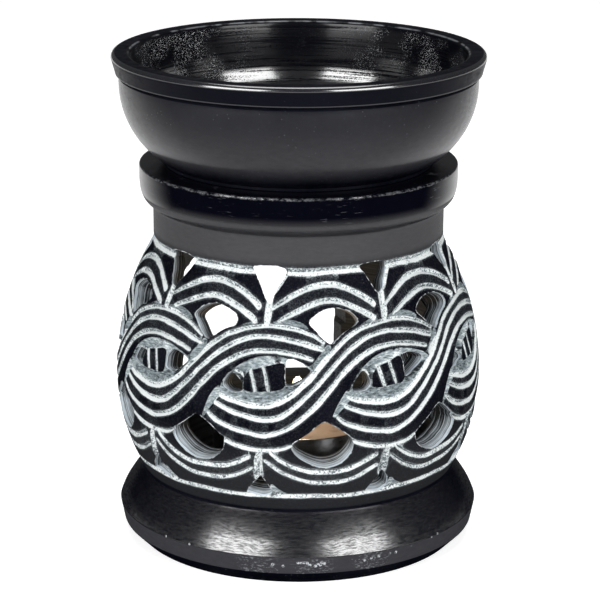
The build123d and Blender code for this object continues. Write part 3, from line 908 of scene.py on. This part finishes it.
# Profiles of the wax with its shallow melted pool, of the pressed wick tab, and of the flame
WAX_PROFILE = [
    (0, 12.6), (1.75, 12.6), (1.8, 10.1), (6.25, 10.05), (6.3, 9.55), (17.9, 9.55), (18, 15), (18.12, 21.9),
    (17.9, 22.16), (17.3, 22.2), (16.2, 22.1), (15, 21.75), (13.6, 21.35), (11, 21.2), (6, 21.15),
    (2.4, 21.2), (1.3, 21.45), (0.85, 21.6), (0, 21.6),
]
TAB_PROFILE = [
    (0, 9.5), (6.1, 9.5), (6.2, 9.6), (6.2, 9.9), (6.1, 10), (2.6, 10.05), (1.9, 10.3), (1.7, 10.8),
    (1.68, 12.3), (1.6, 12.5), (0, 12.5),
]
FLAME_PROFILE = [
    (0, 25.3), (0.45, 25.5), (0.85, 26.1), (1.15, 26.9), (1.36, 27.8), (1.46, 28.8), (1.42, 29.7),
    (1.24, 30.6), (0.92, 31.3), (0.45, 31.8), (0, 31.95),
]


def wick():
    """Charred wick of three twisted strands, bent over a little at its end."""
    turns, levels, low, high, lean_from = 24, 46, 9.6, 26.6, 22
    ring = np.arange(turns) * 2 * pi / turns
    places = [[0, 0, 9.55]]
    for k in range(levels):
        z = low + (high - low) * k / (levels - 1)
        taper = 1 if k < levels - 2 else 0.72 - 0.3 * (k == levels - 1)
        r = (0.62 + 0.13 * np.cos(3 * (ring + z * 0.9))) * taper
        lean = 0.05 * max(0, z - lean_from) ** 1.6
        places += [[b * sin(a) + lean, -b * cos(a) - 0.3 * lean, z] for a, b in zip(ring, r)]
    places.append([places[-1][0] - 0.2, 0, 26.65])
    return build("wick", np.array(places), tube(turns, levels))


class Value:
    """Output of a shader node, for sums, products and maxima (|) with others or with numbers."""

    def __init__(self, shader, socket):
        self.shader, self.socket = shader, socket

    def __add__(self, other):
        return self.shader.math("ADD", self, other)

    def __sub__(self, other):
        return self.shader.math("SUBTRACT", self, other)

    def __mul__(self, other):
        return self.shader.math("MULTIPLY", self, other)

    def __or__(self, other):
        return self.shader.math("MAXIMUM", self, other)


class Shader:
    """A material's node tree, with short calls for the nodes used here."""

    def __init__(self, name):
        self.material = bpy.data.materials.new(name)
        self.material.use_nodes = True
        self.tree = self.material.node_tree
        self.tree.nodes.clear()
        self.out = self.tree.nodes.new("ShaderNodeOutputMaterial")
        place = self.node("ShaderNodeTexCoord", output="Object")
        place = self.node("ShaderNodeVectorMath", place, operation="SCALE", Scale=1 / MM)
        self.mm = self.node("ShaderNodeVectorMath", place, (0, 0, SOLE), operation="SUBTRACT")

    def put(self, socket, value):
        """Joins a socket to a node's output or sets it, a colour by its three parts."""
        if isinstance(value, Value):
            self.tree.links.new(value.socket, socket)
        else:
            socket.default_value = (*value, 1) if socket.type == "RGBA" else value

    def node(self, kind, *inputs, output=0, operation=None, **values):
        """An output of a new node, whose inputs are given in order or by name."""
        n = self.tree.nodes.new(kind)
        if operation:
            n.operation = operation
        for key, value in values.items():
            if key in n.inputs:
                self.put(n.inputs[key], value)
            else:
                setattr(n, key, value)
        for socket, value in zip(n.inputs, inputs):
            self.put(socket, value)
        return Value(self, n.outputs[output])

    def fact(self, name):
        return self.node("ShaderNodeAttribute", attribute_name=name, output="Fac")

    def math(self, operation, a, b=0.0):
        return self.node("ShaderNodeMath", a, b, operation=operation)

    def parts(self, vector):
        split = self.node("ShaderNodeSeparateXYZ", vector).socket.node
        return [Value(self, part) for part in split.outputs]

    def joined(self, x, y, z):
        return self.node("ShaderNodeCombineXYZ", x, y, z)

    def stretched(self, x, y, z):
        return self.node("ShaderNodeVectorMath", self.mm, (x, y, z), operation="MULTIPLY")

    def noise(self, scale, detail=3.0, vector=None, rough=0.5):
        values = {"Vector": vector or self.mm, "Scale": scale, "Detail": detail, "Roughness": rough}
        return self.node("ShaderNodeTexNoise", output="Fac", **values)

    def ramp(self, value, low, high, to_low=0.0, to_high=1.0, kind="SMOOTHSTEP"):
        return self.node("ShaderNodeMapRange", value, low, high, to_low, to_high, interpolation_type=kind)

    def blend(self, factor, a, b, kind="FLOAT", first=2, output=0):
        n = self.tree.nodes.new("ShaderNodeMix")
        n.data_type = kind
        for index, value in ((0, factor), (first, a), (first + 1, b)):
            self.put(n.inputs[index], value)
        return Value(self, n.outputs[output])

    def mix(self, factor, a, b):
        """Blend of two colours."""
        return self.blend(factor, a, b, "RGBA", 6, 2)

    def bump(self, height, distance, strength=1.0, **under):
        return self.node("ShaderNodeBump", Height=height, Distance=distance * MM, Strength=strength, **under)

    def surface(self, **values):
        values = {key.replace("_", " "): value for key, value in values.items()}
        shader = self.node("ShaderNodeBsdfPrincipled", **values)
        self.tree.links.new(shader.socket, self.out.inputs[0])
        return self.material


def turned_marks(s):
    """Places whose noise makes rings all the way round, the distance from the axis, and the height."""
    x, y, height = s.parts(s.mm)
    across = s.math("SQRT", x * x + y * y)
    return s.joined(across, 0.0, height), across, height


def round_marks(s, length, across, height, slope):
    """Places whose noise is drawn out along the turning, by about length millimetres, and fine across it."""
    x, y = (s.math("DIVIDE", part, across) * (36.0 / length) for part in s.parts(s.mm)[:2])
    return s.joined(x, y, across * slope + height)


def zone(s, height, low, high, soft):
    """One between two heights, with soft ends, else zero."""
    return s.ramp(height, low - soft, low + soft) * s.ramp(height, high + soft, high - soft)


def near_places(s, places, reach):
    """One close to any of the places, fading out at the reach."""
    ragged = s.noise(1.5, 3.0, rough=0.7) * reach - 0.5 * reach
    spots = []
    for place in places:
        gap = s.node("ShaderNodeVectorMath", s.mm, place, operation="DISTANCE", output="Value")
        spots.append(s.ramp(gap + ragged, reach, reach * 0.6))
    return reduce(or_, spots)


def stone_base(s):
    """Colour and roughness of black soapstone."""
    tone = s.mix(s.ramp(s.noise(0.07, 4.0), 0.32, 0.68), BLACK, CLOUD)
    tone = s.mix(s.ramp(s.noise(0.9, 5.0, rough=0.65), 0.50, 0.80, 0, 0.35), tone, MOTTLE)
    spots = s.node("ShaderNodeTexVoronoi", Vector=s.mm, Scale=0.9, Randomness=1.0, output="Distance")
    speck = s.ramp(spots, 0.16, 0.08) * s.ramp(s.noise(0.3, 1.0), 0.50, 0.60)
    rough = s.blend(s.ramp(s.noise(0.5, 5.0), 0.3, 0.7), 0.30, 0.42)
    return s.mix(speck * 0.12, tone, SPECK), rough


def carved_material():
    """Black soapstone with white filling in the grooves and pale dust in the hollows."""
    s = Shader("carved soapstone")
    tone, rough = stone_base(s)
    place, across, height = turned_marks(s)
    drum = zone(s, height, *DRUM)
    tone = s.mix(s.ramp(s.noise(3.0, 2.0, rough=0.6), 0.46, 0.72, 0, 0.6) * drum, tone, GRAIN)
    # The neck and the foot's band were left duller and greyer than the waxed collar and shoulder
    neck = zone(s, height, *NECK)
    band = zone(s, height, *BAND) * s.ramp(across, 38.0, 38.4)
    dull = s.noise(0.5, 5.0, s.stretched(1, 1, 3.2), 0.65)
    tone = s.mix(neck * 0.8, tone, s.mix(dull, *NECK_TONES))
    tone = s.mix(s.ramp(height, 34.0, 22.0, 0.0, 0.40) * zone(s, height, *LOW_DRUM), tone, LOW_TONE)
    tone = s.mix(band, tone, s.mix(dull, *BAND_TONES))
    collar, shoulder = zone(s, height, *COLLAR), zone(s, height, *SHOULDER)
    tone = s.mix((collar | shoulder) * 0.85, tone, WAXED)

    # Wear: scratches on the collar, and grit and chips on the foot; the pale line on the collar's top edge is
    # partly a rubbed edge and partly a painted highlight
    dashes = s.ramp(s.noise(1.0, 3.0, s.stretched(0.30, 0.30, 4.5), 0.6), 0.640, 0.690)
    nicks = dashes * collar * s.ramp(s.noise(0.16, 2.0), 0.44, 0.60)
    rub_and_highlight = zone(s, height, *COLLAR_EDGE) * s.ramp(across, 33.8, 34.0)
    rub_and_highlight = rub_and_highlight * s.ramp(s.noise(0.8, 5.0, s.stretched(1, 1, 2), 0.7), 0.45, 0.60)
    grit = s.ramp(s.noise(1.9, 5.0, s.stretched(0.7, 0.7, 1.6), 0.7), 0.545, 0.60) * band
    chips = near_places(s, CHIPS, 0.30) | near_places(s, SCUFFS, 0.42) * band
    chips = chips * s.ramp(s.noise(2.6, 3.0, rough=0.7), 0.42, 0.54)
    wear_and_highlight = nicks * 0.12 | rub_and_highlight * 0.13 | grit * near_places(s, GRITTY, 5.0) * 0.22 | chips * 0.9
    tone = s.mix(wear_and_highlight, tone, WORN_AND_HIGHLIGHT)

    white, dust, pale, rim = (s.fact(name) for name in ("white_mm", "dust_mm", "pale", "rim_mm"))
    rag = s.noise(1.9, 4.0, rough=0.65) * 0.34 + s.noise(0.35, 2.0) * 0.30 - 0.30
    edge = white + rag
    filled = s.ramp(edge, -0.05, 0.07)
    smudge = s.ramp(edge, -0.48, -0.02) * s.ramp(s.noise(3.4, 3.0, rough=0.7), 0.40, 0.64, 0.0, 0.55)
    # Painted shade and light: over random mottling, the filling is drawn greyer and thinner where the
    # groove's wall faces down and whiter where it faces up; it also greys towards the bottom
    facing = s.parts(s.node("ShaderNodeNewGeometry", output="Normal"))[2] - height * 0.0125 + 0.43
    cover_and_shade = facing * 0.40 + s.noise(2.4, 3.0, rough=0.6) * 2.2 + s.noise(0.28, 3.0) * 0.9 - 1.57
    cover_and_shade = cover_and_shade - s.ramp(height, 36.0, 20.0, 0.02, 0.32)
    chalk = s.mix(s.ramp(cover_and_shade, -0.34, -0.02), SHADED_GREY_CHALK, CHALK)
    chalk = s.mix(s.ramp(cover_and_shade, -0.52, -0.34), SHADED_THIN_CHALK, chalk)
    chalk = s.mix(s.ramp(edge, 0.0, 0.16), CHALK_EDGE, chalk)
    level = (s.noise(1.3, 5.0, s.stretched(0.6, 0.6, 2.2), 0.75) - 0.5) * 2.1 + pale
    powder = s.mix(s.ramp(level, 0.02, 0.62), BARE, POWDER)
    powder = s.mix(s.ramp(level, 0.50, 0.95), powder, THICK_POWDER)
    dusted = s.ramp(dust + rag * 0.8, -0.05, 0.12)
    line = s.ramp(s.math("ABSOLUTE", rim + rag * 0.5), 0.20, 0.06)
    line = line * s.ramp(s.noise(0.8, 3.0, rough=0.7), 0.46, 0.62)
    for share, layer in ((smudge, SMUDGE), (dusted, powder), (line, RIM_LINE), (filled, chalk)):
        tone = s.mix(share, tone, layer)
    chalky = filled | dusted

    waves = s.joined(0.0, 0.0, s.noise(0.22, 2.0) * 3.0)
    along = s.node("ShaderNodeVectorMath", round_marks(s, 4.0, across, height, -1.0), waves, operation="ADD")
    strokes = s.noise(2.5, 3.0, along, 0.7)
    normal = s.bump(s.noise(2.2, 3.0, place, 0.6), 0.02, 0.5)
    normal = s.bump(strokes * shoulder, 0.05, 0.8, Normal=normal)
    normal = s.bump(s.noise(2.2, 5.0, rough=0.7) * chalky, 0.22, 0.8, Normal=normal)
    gloss = s.blend(drum | neck | band, rough, 0.60)
    # Seen at a slant the foot's wax looks dull, and the collar's catches the pale surroundings
    slant = s.node("ShaderNodeLayerWeight", Blend=0.5, output="Facing")
    waxed = shoulder * s.ramp(slant, 0.22, 0.66, 1.0, 0.05) * s.ramp(strokes, 0.34, 0.62, 0.30, 1.0)
    lip = zone(s, height, *COLLAR_LIP) * s.ramp(across, 33.7, 33.9)
    lip = lip * s.ramp(s.noise(0.9, 4.0, rough=0.7), 0.44, 0.64, 0.0, 0.7)
    waxed = waxed | collar * s.ramp(slant, 0.40, 0.85, 0.0, 0.85) | lip | neck * 0.20
    return s.surface(
        Base_Color=tone, Roughness=s.blend(chalky, gloss, 0.92), Normal=normal, Specular_IOR_Level=0.0,
        Coat_Weight=waxed, Coat_Roughness=0.23, Coat_IOR=WAX_IOR,
    )


def filed_material():
    """Sawn walls of the openings, with pale dust along the file's strokes, painted light on the walls that
    face up, and painted shade deeper into the wall.
    """
    s = Shader("filed soapstone")
    through = s.fact("through")
    stroke = s.noise(12.0, 2.0, s.joined(s.noise(0.45, 2.0) * 0.10 + through, 0.0, 0.0), 0.7)
    painted_light = s.ramp(s.parts(s.node("ShaderNodeNewGeometry", output="Normal"))[2], -0.25, 0.75)
    # Painted light makes the walls that face up paler, and painted shade darkens them deeper into the wall
    level = stroke * 4.6 + painted_light * 0.44 - through + s.noise(0.35, 3.0) * 0.6 - 2.10
    colour = s.mix(s.ramp(level, 0.10, 1.00, kind="LINEAR"), (0.012, 0.014, 0.018), (0.72, 0.81, 0.88))
    normal = s.bump(stroke, 0.16, 0.7)
    return s.surface(Base_Color=colour, Roughness=0.72, Normal=normal, Specular_IOR_Level=0.3)


def chamber_material():
    """Roughly bored inside of the stand, darkened by soot."""
    s = Shader("bored soapstone")
    place, across, height = turned_marks(s)
    rings = s.noise(1.3, 4.0, place, 0.65)
    dusty = s.mix(s.ramp(rings, 0.35, 0.7), (0.012, 0.012, 0.013), (0.050, 0.050, 0.050))
    colour = s.mix(s.ramp(height, 40.0, 66.0) * 0.7, dusty, (0.005, 0.005, 0.006))
    normal = s.bump(rings, 0.25, 0.8)
    return s.surface(Base_Color=colour, Roughness=0.7, Normal=normal, Specular_IOR_Level=0.3)


def bowl_material():
    """Waxed black soapstone with turning marks, clearest inside the bowl."""
    s = Shader("polished soapstone")
    tone, rough = stone_base(s)
    place, across, height = turned_marks(s)
    hollow = s.fact("hollow")
    under = s.ramp(height, 99.5, 86.0) * s.ramp(height, 82.5, 87.5)
    tone = s.mix(under * 0.7, tone, s.mix(s.noise(0.5, 5.0, s.stretched(1, 1, 2.4), 0.65), *SIDE_TONES))
    tone = s.mix(zone(s, height, 100.7, 104.3, 0.1) * 0.7, tone, RIM_WAXED)
    tone = s.mix(hollow, tone, HOLLOW_WAXED)
    # Painted glints: near-white specks on the hollow's flanks stand for sparkling highlights
    flank = s.ramp(s.math("ABSOLUTE", s.parts(s.mm)[0]), 8.0, 24.0, 0.03, 1.0) * s.ramp(height, 104.5, 103.5)
    painted_glint = s.ramp(s.noise(3.4, 4.0, s.stretched(0.8, 0.8, 1.6), 0.8), 0.58, 0.64)
    painted_glint = painted_glint * flank * s.ramp(s.noise(0.11, 3.0), 0.39, 0.56)
    tone = s.mix(painted_glint * hollow, tone, (0.93, 0.95, 0.98))
    # Painted highlight: a pale line round the rim's inner edge
    inner = s.ramp(height, 104.45, 104.75) * zone(s, across, 36.10, 36.42, 0.10)
    inner = inner * s.ramp(s.noise(0.35, 4.0), 0.40, 0.60)
    tone = s.mix(inner * 0.25, tone, (0.50, 0.52, 0.55))

    rings = s.noise(2.5, 2.0, round_marks(s, 60.0, across, height, 1.0), 0.7)
    normal = s.bump(s.noise(3.2, 3.0, place, 0.65), 0.012, 0.5)
    normal = s.bump(rings * hollow, 0.03, 0.8, Normal=normal)
    normal = s.bump(s.noise(1.8, 5.0, rough=0.7), 0.03, 0.25, Normal=normal)
    smear = s.ramp(s.noise(0.5, 4.0, s.stretched(1, 1, 3)), 0.35, 0.75, -0.03, 0.08)
    gloss = s.blend(under * 0.6, rough + smear, 0.5)
    # The wax shines in the hollow between its turning marks, on the side, and on the rim's rounded edges
    shine = s.ramp(s.noise(3.6, 2.0, rough=0.6) * 0.45 + rings, 0.63, 0.72) * hollow
    for low, high, least in ((103.9, 103.3, 0.5), (99.5, 95.0, 0.30), (84.6, 90.0, 0.16)):
        shine = shine * s.ramp(height, low, high, least, 1.0)
    slant = s.node("ShaderNodeLayerWeight", Blend=0.5, output="Facing")
    side = s.ramp(height, 83.0, 88.5) * s.ramp(height, 100.6, 100.0) * s.math("SUBTRACT", 1.0, hollow)
    upper = s.ramp(height, 103.9, 104.2) * s.ramp(across, 39.1, 39.4)
    lower = zone(s, height, 100.58, 100.95, 0.06) * s.ramp(across, 38.3, 38.7)
    shine = shine | side * s.ramp(slant, 0.30, 0.90, 0.08, 0.50) | upper | lower * 0.30
    return s.surface(
        Base_Color=tone, Roughness=s.blend(hollow, gloss, 0.30), Normal=normal, Specular_IOR_Level=0.03,
        Coat_Weight=shine, Coat_Roughness=0.15, Coat_IOR=WAX_IOR,
    )


def cup_material():
    """Thin pressed aluminium."""
    s = Shader("cup aluminium")
    dull = s.noise(0.5, 4.0, s.stretched(1, 1, 2.5))
    colour = s.mix(s.ramp(dull, 0.3, 0.7), (0.34, 0.34, 0.35), (0.50, 0.50, 0.51))
    rough, normal = s.ramp(dull, 0.2, 0.8, 0.26, 0.42), s.bump(s.noise(0.25, 3.0), 0.25, 0.5)
    return s.surface(Base_Color=colour, Metallic=1.0, Roughness=rough, Normal=normal)


def steel_material():
    """Tinned sheet of the wick's tab."""
    s = Shader("sustainer steel")
    dull = s.noise(1.2, 4.0)
    colour = s.mix(s.ramp(dull, 0.3, 0.7), (0.42, 0.42, 0.42), (0.60, 0.60, 0.60))
    rough, normal = s.ramp(dull, 0.2, 0.8, 0.28, 0.5), s.bump(dull, 0.05, 0.4)
    return s.surface(Base_Color=colour, Metallic=1.0, Roughness=rough, Normal=normal)


def wax_material():
    """Candle wax, lit through by its flame."""
    s = Shader("candle wax")
    cloud = s.noise(0.25, 4.0)
    grain = s.noise(0.9, 4.0, s.stretched(0.35, 0.35, 3.0), 0.7)
    colour = s.mix(s.ramp(cloud, 0.3, 0.7), (0.33, 0.26, 0.23), (0.41, 0.34, 0.31))
    colour = s.mix(s.ramp(grain, 0.50, 0.68, 0.0, 0.7), colour, (0.22, 0.15, 0.12))
    return s.surface(
        Base_Color=colour, Roughness=s.ramp(cloud, 0.2, 0.8, 0.32, 0.5),
        Subsurface_Weight=0.25, Subsurface_Radius=(1.0, 0.5, 0.3), Subsurface_Scale=0.002,
        Normal=s.bump(s.noise(0.9, 3.0), 0.08, 0.4),
    )


def wick_material():
    """Cotton wick, charred black towards its end."""
    s = Shader("charred cotton")
    char = s.ramp(s.noise(1.5, 3.0) * 1.5 + s.parts(s.mm)[2], 23.0, 24.6)
    colour = s.mix(char, (0.62, 0.52, 0.40), (0.012, 0.010, 0.009))
    return s.surface(Base_Color=colour, Roughness=0.95, Normal=s.bump(s.noise(6.0, 3.0), 0.1, 0.7))


def flame_material():
    """Candle flame: blue at its foot, cream in the body."""
    s = Shader("flame")
    rise = s.ramp(s.parts(s.mm)[2], 25.6, 28.0)
    return s.surface(
        Base_Color=(0.9, 0.8, 0.6), Roughness=0.9, Specular_IOR_Level=0.0,
        Emission_Color=s.mix(rise, (0.10, 0.16, 0.45), (1.0, 0.86, 0.58)),
        Emission_Strength=s.ramp(rise, 0.0, 1.0, 0.4, 1.0),
    )


def dressed(obj, slot_name, body, *materials, node=None):
    """Gives a piece the body it rides on, its materials and the node it stands for; slot_name is not used."""
    for material in materials:
        obj.data.materials.append(material)
    if node:
        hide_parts(node)
    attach(obj, body)


def pieces():
    """Every visible piece of the burner."""
    shell = carved_shell()
    facts = {name: np.concatenate(values) for name, values in shell.facts.items()}
    mesh = (np.concatenate(part) for part in (shell.places, shell.triangles, shell.kinds))
    stone = build("carved_stone", *mesh, facts, 32)
    looks = carved_material(), filed_material(), chamber_material()
    dressed(stone, "black_soapstone", "stand", *looks, node="carved_body")
    dressed(bowl(), "polished_soapstone", "dish", bowl_material(), node="oil_dish")
    dressed(cup(), "cup_aluminium", "tealight", cup_material(), node="tealight_cup")
    wax = turned("wax", WAX_PROFILE, 50, 120)
    dressed(wax, "candle_wax", "tealight", wax_material(), node="tealight_wax")
    dressed(wick(), "cotton_wick", "tealight", wick_material(), node="tealight_wick")
    tab = turned("wick_tab", TAB_PROFILE, 40, 64)
    dressed(tab, "sustainer_steel", "tealight", steel_material(), node="wick_sustainer")
    dressed(turned("flame", FLAME_PROFILE, turns=32), "candle_wax", "tealight", flame_material())


def linked(name, data):
    """New object in the scene."""
    obj = bpy.data.objects.new(name, data)
    bpy.context.scene.collection.objects.link(obj)
    return obj


def floor():
    """Plain pale floor that keeps the shadow."""
    half, below = 3, -2e-5
    mesh = bpy.data.meshes.new("floor")
    corners = [(-half, -half, below), (half, -half, below), (half, half, below), (-half, half, below)]
    mesh.from_pydata(corners, [], [(0, 1, 2, 3)])
    s = Shader("pale floor")
    kinds = "Camera", "Glossy", "Transmission"
    rays = [s.node("ShaderNodeLightPath", output=f"Is {kind} Ray") for kind in kinds]
    mesh.materials.append(s.surface(
        Base_Color=(0.82, 0.82, 0.82), Roughness=0.9, Specular_IOR_Level=0.0, Emission_Color=(1, 1, 1),
        Emission_Strength=reduce(or_, rays) * 0.66,
    ))
    linked("floor", mesh)


def world():
    """Soft plain surroundings."""
    w = bpy.data.worlds.new("surroundings")
    bpy.context.scene.world = w
    w.use_nodes = True
    nodes = w.node_tree.nodes
    nodes.clear()
    soft = nodes.new("ShaderNodeBackground")
    soft.inputs["Color"].default_value = (0.97, 0.98, 1.0, 1)
    soft.inputs["Strength"].default_value = 0.10
    w.node_tree.links.new(soft.outputs[0], nodes.new("ShaderNodeOutputWorld").inputs[0])


def soft_box(name, place, size, watts):
    """Soft rectangular lamp that faces the burner."""
    data = bpy.data.lights.new(name, "AREA")
    data.shape = "RECTANGLE"
    data.size, data.size_y = size
    data.energy = watts
    obj = linked(name, data)
    obj.location = place
    obj.rotation_euler = (Vector((0, 0, 0.05)) - Vector(place)).to_track_quat("-Z", "Y").to_euler()


def lamps():
    """A soft box on each side in front, a broad one above, and the flame's own small light."""
    soft_box("soft box left", (-0.53, -0.66, 0.36), (0.58, 0.50), 6.8)
    soft_box("soft box right", (0.53, -0.66, 0.36), (0.58, 0.50), 6.6)
    soft_box("overhead", (0.0, 0.10, 0.95), (0.7, 0.5), 4.0)
    data = bpy.data.lights.new("flame light", "POINT")
    data.energy = 0.012
    data.color = (1.0, 0.78, 0.50)
    data.shadow_soft_size = 0.0015
    linked("flame light", data).location = (0, 0, 0.0335 + SOLE * MM)


def camera():
    """Camera at the photograph's angle, for a square frame."""
    data = bpy.data.cameras.new("camera")
    data.sensor_width = 36.0
    data.sensor_fit = "HORIZONTAL"
    data.lens = 151.92
    data.shift_x = 0.003
    data.clip_start = 0.01
    obj = linked("camera", data)
    obj.matrix_world = (
        Matrix.Translation((0, -0.53156, 0.20535 + SOLE * MM))
        @ Matrix.Rotation(radians(73.67), 4, "X") @ Matrix.Rotation(radians(0.17), 4, "Z")
    )
    bpy.context.scene.camera = obj


bpy.context.scene.view_settings.view_transform = "Standard"
camera()
world()
lamps()
floor()
pieces()
